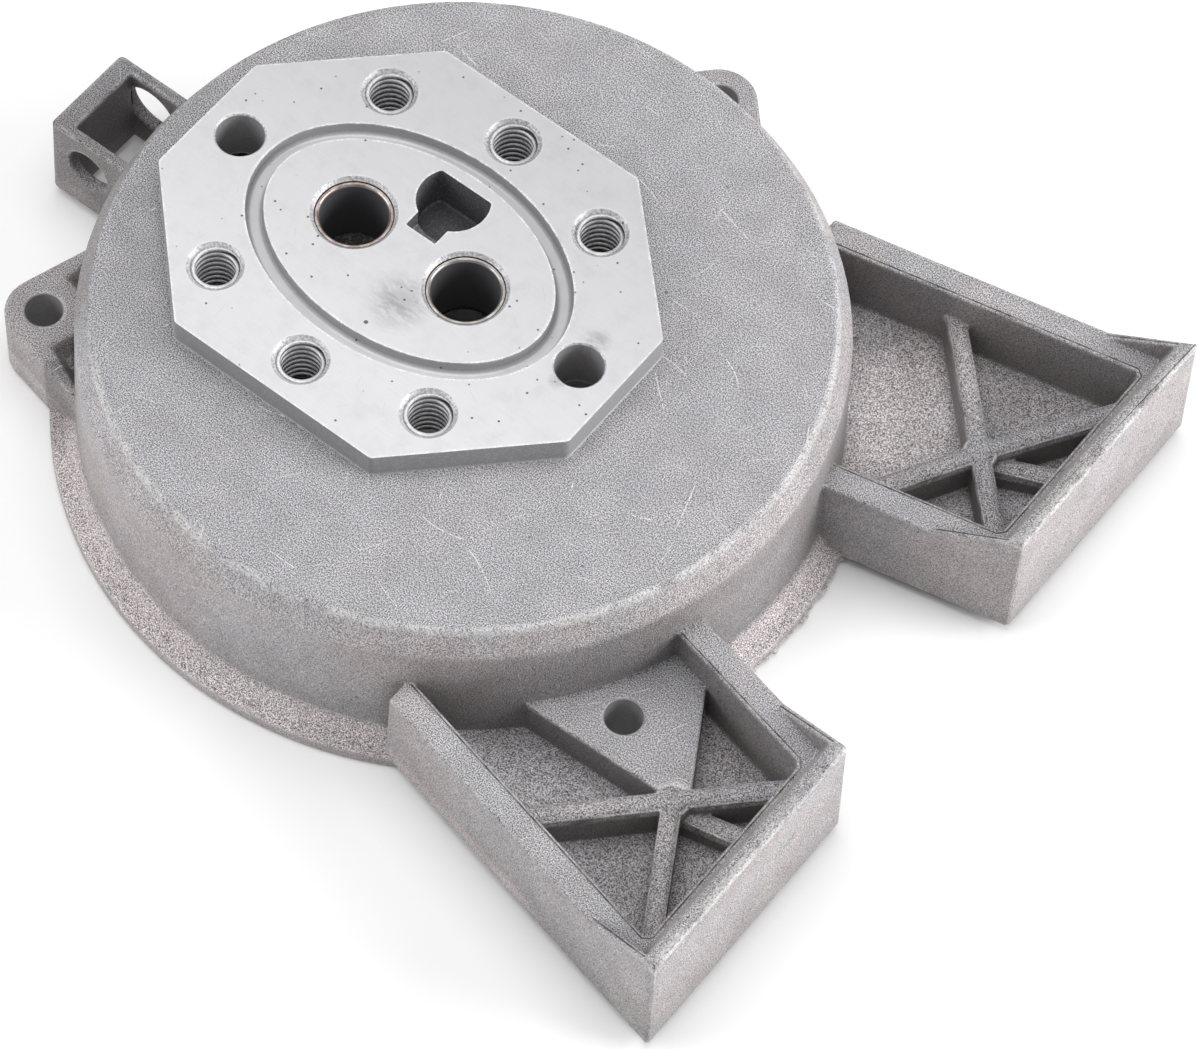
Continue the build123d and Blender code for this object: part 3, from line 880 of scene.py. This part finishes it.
def geometry_tree(name, inputs):
    """A new geometry tree and the sockets of its inputs."""
    tree = bpy.data.node_groups.new(name, "GeometryNodeTree")
    for in_out in ("INPUT", "OUTPUT"):
        tree.interface.new_socket("Geometry", in_out=in_out, socket_type="NodeSocketGeometry")
    return tree, add_inputs(tree, inputs)


def finish_tree(tree, geometry, material, smooth=True):
    """Ends a geometry tree: smooth faces where they are wanted, real instances, one material."""
    if smooth:
        geometry = add(tree, "GeometryNodeSetShadeSmooth", {0: geometry}).outputs[0]
    real = add(tree, "GeometryNodeRealizeInstances", {0: geometry}).outputs[0]
    painted = add(tree, "GeometryNodeSetMaterial", {"Geometry": real, "Material": material}).outputs[0]
    tree.links.new(painted, tree.nodes.new("NodeGroupOutput").inputs[0])
    return tree


def stretched(tree, geometry, x, y, z):
    """A geometry scaled along its three axes."""
    scale = add(tree, "ShaderNodeCombineXYZ", {0: x, 1: y, 2: z}).outputs[0]
    return add(tree, "GeometryNodeTransform", {"Geometry": geometry, "Scale": scale}).outputs[0]


def bar_along(tree, lines, half_width, half_height, points, **scale):
    """A closed bar of elliptical section along the edges of a mesh, kept upright."""
    path = add(tree, "GeometryNodeMeshToCurve", {0: lines}).outputs[0]
    level = add(tree, "GeometryNodeSetCurveNormal", {0: path}, mode="Z_UP").outputs[0]
    circle = add(tree, "GeometryNodeCurvePrimitiveCircle", {"Resolution": points, "Radius": 1.0}).outputs[0]
    section = stretched(tree, circle, half_width, half_height, 1.0)
    return add(tree, "GeometryNodeCurveToMesh", {
        "Curve": level, "Profile Curve": section, "Fill Caps": True, **scale}).outputs[0]


def set_inputs(modifier, tree, values):
    """Sets a modifier's inputs by their sockets' identifiers."""
    names = {item.name: item.identifier for item in tree.interface.items_tree
             if item.item_type == "SOCKET" and item.in_out == "INPUT"}
    for name, value in values.items():
        modifier[names[spaced(name)]] = value


def grown_piece(name, mesh, tree, **values):
    """The plain mesh that a tree makes from a few points and edges."""
    source = new_object(name + "_path", mesh)
    modifier = source.modifiers.new(name, "NODES")
    modifier.node_group = tree
    set_inputs(modifier, tree, values)
    piece = plain_piece(source, name)
    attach(piece, "root")
    return piece


# Rounded rib crowns in the feet

def crown_tree():
    """A crowned bar along every rib, and a low dome where the ribs of a foot meet."""
    tree, given = geometry_tree("Rib crowns", {
        "Half Width": 2.3 * MM, "Rise": 1.2 * MM, "Junction Radius": 4.2 * MM, "Material": None})
    bars = bar_along(tree, given["Geometry"], given["Half Width"], given["Rise"], points=32)
    ball = add(tree, "GeometryNodeMeshUVSphere", {"Segments": 48, "Rings": 24, "Radius": 1.0}).outputs[0]
    dome = stretched(tree, ball, given["Junction Radius"], given["Junction Radius"], given["Rise"])
    junction = add(tree, "GeometryNodeInputNamedAttribute", {"Name": "junction"}, data_type="BOOLEAN")
    domes = add(tree, "GeometryNodeInstanceOnPoints", {
        "Points": given["Geometry"], "Selection": junction.outputs[0], "Instance": dome}).outputs[0]
    both = add(tree, "GeometryNodeJoinGeometry")
    tree.links.new(bars, both.inputs[0])
    tree.links.new(domes, both.inputs[0])
    return finish_tree(tree, both.outputs[0], given["Material"])


def rib_paths(sizes):
    """One edge along each rib, from its junction to just inside the pocket's wall."""
    data = frame["nodes"]["bell_housing"].data
    shell = bvhtree.BVHTree.FromPolygons([vert.co for vert in data.vertices],
                                         [face.vertices[:] for face in data.polygons])
    clear = WALL_SEARCH_START * sizes.junction
    points, edges, junctions = [], [], []
    for centre, top, angles in RIBS:
        for angle in angles:
            along = on_circle(1.0, angle)
            start = Vector((centre.x, centre.y, top - sizes.sunk))
            above = Vector((centre.x, centre.y, top + RIB_CLEARANCE)) + along * clear
            wall = shell.ray_cast(above, along)[3]
            edges.append((len(points), len(points) + 1))
            points += [start, start + along * (clear + wall + RIB_OVERLAP)]
            junctions += [top == RIB_TOP and angle == angles[0], False]
    mesh = bpy.data.meshes.new("rib_paths")
    mesh.from_pydata(points, edges, [])
    mesh.attributes.new("junction", "BOOLEAN", "POINT").data.foreach_set("value", junctions)
    return mesh


class BELLHOUSING_OT_ribs(bpy.types.Operator):
    """Round the tops of the ribs in the two feet"""
    bl_idname = "bell_housing.ribs"
    bl_label = "Round the Ribs"

    def execute(self, context):
        sizes = context.scene.bell_ribs
        skin = cast_material(context.scene.bell_casting, "Blasted rib", worn=False)
        grown_piece("rib_crowns", rib_paths(sizes), crown_tree(), Half_Width=sizes.width / 2,
                    Rise=sizes.rise, Junction_Radius=sizes.junction / 2, Material=skin)
        return {"FINISHED"}


# Parting lines round the pockets, and flash on the flange

def seam_tree():
    """A bar along every edge, even or broken into lumps as its Roughness says."""
    tree, given = geometry_tree("Swept bar", {
        "Half Width": 1 * MM, "Half Height": 1 * MM, "Roughness": 0.0, "Lump Size": 1 * MM,
        "Seed": 0, "Material": None})
    lumps = add(tree, "ShaderNodeTexNoise", {
        "Vector": add(tree, "GeometryNodeInputPosition").outputs[0], "W": given["Seed"],
        "Scale": math_node(tree, "DIVIDE", 1.0, given["Lump Size"]), "Detail": 4.0},
        noise_dimensions="4D").outputs[0]
    uneven = ramp(tree, lumps, 0.44, 0.68, 0.15, 1.0, smooth=False)
    thick = add(tree, "ShaderNodeMix", {"Factor": given["Roughness"], 2: 1.0, 3: uneven}).outputs[0]
    bar = bar_along(tree, given["Geometry"], given["Half Width"], given["Half Height"], points=16,
                    Scale=thick)
    return finish_tree(tree, bar, given["Material"])


def rim_edges(shape):
    """The edges at the mouths of the feet's pockets, each with the way that leads out over its lid."""
    for edge in shape.edges:
        if len(edge.link_faces) != 2 or not edge.is_convex or edge.calc_face_angle() < RIM_ANGLE:
            continue
        lid, wall = sorted(edge.link_faces, key=lambda face: -face.normal.z)
        middle = (edge.verts[0].co + edge.verts[1].co) / 2
        junction = NEAR_JUNCTION if middle.y < 0 else FAR_JUNCTION
        on_foot = middle.x >= POCKETS_FROM_X and middle.z >= POCKETS_FROM_Z
        inside = (junction - middle).xy.dot(wall.normal.xy) > 0
        if on_foot and inside and lid.normal.z >= LID_NORMAL_Z and abs(wall.normal.z) <= WALL_NORMAL_Z:
            away = lid.normal.cross((edge.verts[1].co - edge.verts[0].co).normalized())
            yield edge, -away if away.dot(wall.normal) > 0 else away


def pocket_rims(inset):
    """Lines that run round the mouths of the feet's pockets, an inset outside their edges."""
    shape = merged_casting()
    outward, joined = {}, []
    for edge, away in rim_edges(shape):
        joined.append(edge)
        for vert in edge.verts:
            outward.setdefault(vert, []).append(away)
    number = {vert: index for index, vert in enumerate(outward)}
    points = []
    for vert, ways in outward.items():
        spread = 1 + ways[0].dot(ways[1]) if len(ways) == 2 else 1
        points.append(vert.co + sum(ways, Vector()) / spread * inset)
    mesh = bpy.data.meshes.new("pocket_rims")
    mesh.from_pydata(points, [[number[vert] for vert in edge.verts] for edge in joined], [])
    shape.free()
    return mesh


def rim_arc():
    """A fine arc round the flange's lower edge between the feet, where the mould left flash."""
    turn = FLASH_END - FLASH_START
    points = [on_circle(FLANGE_RADIUS, FLASH_START + turn * step / FLASH_STEPS, FLASH_HEIGHT)
              for step in range(FLASH_STEPS + 1)]
    mesh = bpy.data.meshes.new("rim_arc")
    mesh.from_pydata(points, [(step, step + 1) for step in range(FLASH_STEPS)], [])
    return mesh


class BELLHOUSING_OT_seams(bpy.types.Operator):
    """Draw the parting lines of the mould and the flash on the flange"""
    bl_idname = "bell_housing.seams"
    bl_label = "Draw the Seams"

    def execute(self, context):
        sizes = context.scene.bell_seams
        tree = seam_tree()
        grown_piece("parting_lines", pocket_rims(sizes.inset), tree, Half_Width=sizes.line / 2,
                    Half_Height=sizes.line / 2, Roughness=0.0, Material=seam_material())
        grown_piece("flange_flash", rim_arc(), tree, Half_Width=sizes.flash / 2, Half_Height=sizes.flash / 4,
                    Roughness=1.0, Lump_Size=FLASH_LUMP, Seed=sizes.seed,
                    Material=bpy.data.materials["Blasted casting"])
        return {"FINISHED"}


# The two bushes

class BELLHOUSING_OT_bushes(bpy.types.Operator):
    """Give the two shaft bushes their metal ends and dark lining"""
    bl_idname = "bell_housing.bushes"
    bl_label = "Finish the Bushes"

    def execute(self, context):
        finish = context.scene.bell_bushes
        colours = {"drive_shaft_bush": finish.silvery, "idler_shaft_bush": finish.coppery}
        for (node, backing), mount in zip(colours.items(), SHAFTS):
            label = node.replace("_", " ").capitalize()
            material = bush_material(finish, label, mount["pos_m"][0], backing)
            frame["nodes"][node].material_slots[0].material = material
        return {"FINISHED"}


# Thread ridges in the six tapped holes

def thread_tree():
    """A ridge on a helix in every hole, fading out at both ends."""
    tree, given = geometry_tree("Thread ridges", {
        "Pitch": 1.8 * MM, "Wall Radius": 5.5 * MM, "Thread Height": 0.9 * MM, "Length": 14 * MM,
        "Steps": 40, "Material": None})
    turns = math_node(tree, "DIVIDE", given["Length"], given["Pitch"])
    helix = add(tree, "GeometryNodeCurveSpiral", {
        "Resolution": given["Steps"], "Rotations": turns, "Start Radius": given["Wall Radius"],
        "End Radius": given["Wall Radius"], "Height": given["Length"]}).outputs[0]
    upright = add(tree, "GeometryNodeSetCurveNormal", {"Curve": helix}, mode="Z_UP").outputs[0]
    along = add(tree, "GeometryNodeSplineParameter").outputs["Factor"]
    fade = product(tree, ramp(tree, along, 0.0, 0.06, 0.05, 1.0), ramp(tree, along, 0.97, 1.0, 1.0, 0.05))
    section = add(tree, "GeometryNodeCurvePrimitiveQuadrilateral", {
        "Bottom Width": product(tree, given["Pitch"], THREAD_BASE),
        "Top Width": product(tree, given["Pitch"], THREAD_CREST),
        "Offset": 0.0, "Height": given["Thread Height"]}, mode="TRAPEZOID").outputs[0]
    inward = add(tree, "ShaderNodeCombineXYZ", {0: product(tree, given["Thread Height"], 0.5)}).outputs[0]
    moved = add(tree, "GeometryNodeTransform", {
        "Geometry": section, "Rotation": (0, 0, math.radians(90)), "Translation": inward}).outputs[0]
    ridge = add(tree, "GeometryNodeCurveToMesh", {
        "Curve": upright, "Profile Curve": moved, "Scale": fade, "Fill Caps": True}).outputs[0]
    placed = add(tree, "GeometryNodeInstanceOnPoints", {
        "Points": given["Geometry"], "Instance": ridge}).outputs[0]
    return finish_tree(tree, placed, given["Material"], smooth=False)


class BELLHOUSING_OT_threads(bpy.types.Operator):
    """Cut the threads of the six tapped holes"""
    bl_idname = "bell_housing.threads"
    bl_label = "Cut the Threads"

    def execute(self, context):
        sizes = context.scene.bell_threads
        length = THREAD_LENGTH - THREAD_SHORTER
        bottom = THREAD_TOP + THREAD_ABOVE - length
        places = bpy.data.meshes.new("thread_places")
        places.from_pydata([(*mount["pos_m"][:2], bottom) for mount in THREADED], [], [])
        grown_piece("threads", places, thread_tree(), Pitch=sizes.pitch,
                    Wall_Radius=THREAD_RADIUS + THREAD_SUNK, Thread_Height=sizes.ridge, Length=length,
                    Steps=sizes.steps, Material=bpy.data.materials["Milled pad"])
        return {"FINISHED"}


# The stage: floor, world, lamps and camera

def lay_floor(colour):
    """A plain floor just below the flange."""
    corners = [(x * FLOOR_HALF, y * FLOOR_HALF, FLOOR_LEVEL) for x, y in ((-1, -1), (1, -1), (1, 1), (-1, 1))]
    mesh = bpy.data.meshes.new("floor")
    mesh.from_pydata(corners, [], [(0, 1, 2, 3)])
    material, tree, _ = new_material("Plain floor")
    finish_material(tree, {"Base Color": (*colour, 1), "Roughness": 0.9})
    mesh.materials.append(material)
    floor = new_object("floor", mesh)


def look(place, aim):
    """The turn that points a lamp or camera from its place at its aim."""
    return (aim - place).to_track_quat("-Z", "Y")


def hang_lamp(name, place, size, power):
    data = bpy.data.lights.new(name, "AREA")
    data.size = size
    data.energy = power
    light = new_object(name, data)
    light.location = place
    light.rotation_euler = look(Vector(place), LAMP_AIM).to_euler()


def place_camera(setup):
    data = bpy.data.cameras.new("camera")
    data.sensor_width = 36
    data.lens = setup.lens
    camera = new_object("camera", data)
    place = Vector(setup.camera_place)
    turn = look(place, Vector(setup.camera_aim)).to_matrix().to_4x4()
    camera.matrix_world = Matrix.Translation(place) @ turn @ Matrix.Rotation(setup.camera_roll, 4, "Z")
    bpy.context.scene.camera = camera


class BELLHOUSING_OT_stage(bpy.types.Operator):
    """Lay the floor, set the lamps and place the camera"""
    bl_idname = "bell_housing.stage"
    bl_label = "Set the Stage"

    def execute(self, context):
        setup = context.scene.bell_stage
        lay_floor(setup.floor)
        world = bpy.data.worlds.new("studio")
        world.use_nodes = True
        sky = world.node_tree.nodes["Background"].inputs
        sky["Color"].default_value = (1, 1, 1, 1)
        sky["Strength"].default_value = WORLD_STRENGTH
        context.scene.world = world
        for lamp in LAMPS:
            hang_lamp(*lamp)
        place_camera(setup)
        context.scene.view_settings.view_transform = "Standard"
        return {"FINISHED"}


class BELLHOUSING_PT_panel(bpy.types.Panel):
    """The steps that finish the bell housing"""
    bl_idname = "BELLHOUSING_PT_panel"
    bl_label = "Bell Housing"
    bl_space_type = "VIEW_3D"
    bl_region_type = "UI"
    bl_category = "Bell Housing"

    def draw(self, context):
        for operator in OPERATORS:
            self.layout.operator(operator.bl_idname)
        for name in SETTINGS:
            group = getattr(context.scene, name)
            box = self.layout.box()
            for key in group.__annotations__:
                box.prop(group, key)


OPERATORS = (BELLHOUSING_OT_casting, BELLHOUSING_OT_ribs, BELLHOUSING_OT_seams, BELLHOUSING_OT_bushes,
             BELLHOUSING_OT_threads, BELLHOUSING_OT_stage)
SETTINGS = {
    "bell_casting": CastingFinish,
    "bell_pad": PadFinish,
    "bell_ribs": RibSizes,
    "bell_seams": SeamSizes,
    "bell_threads": ThreadSizes,
    "bell_bushes": BushFinish,
    "bell_stage": StageSetup,
}


def register():
    for name, group in SETTINGS.items():
        bpy.utils.register_class(group)
        setattr(bpy.types.Scene, name, PointerProperty(type=group))
    for item in (*OPERATORS, BELLHOUSING_PT_panel):
        bpy.utils.register_class(item)


def unregister():
    for item in (BELLHOUSING_PT_panel, *reversed(OPERATORS)):
        bpy.utils.unregister_class(item)
    for name, group in reversed(SETTINGS.items()):
        delattr(bpy.types.Scene, name)
        bpy.utils.unregister_class(group)


def main():
    register()
    bpy.ops.bell_housing.casting()
    bpy.ops.bell_housing.ribs()
    bpy.ops.bell_housing.seams()
    bpy.ops.bell_housing.bushes()
    bpy.ops.bell_housing.threads()
    bpy.ops.bell_housing.stage()


if __name__ == "__main__":
    main()
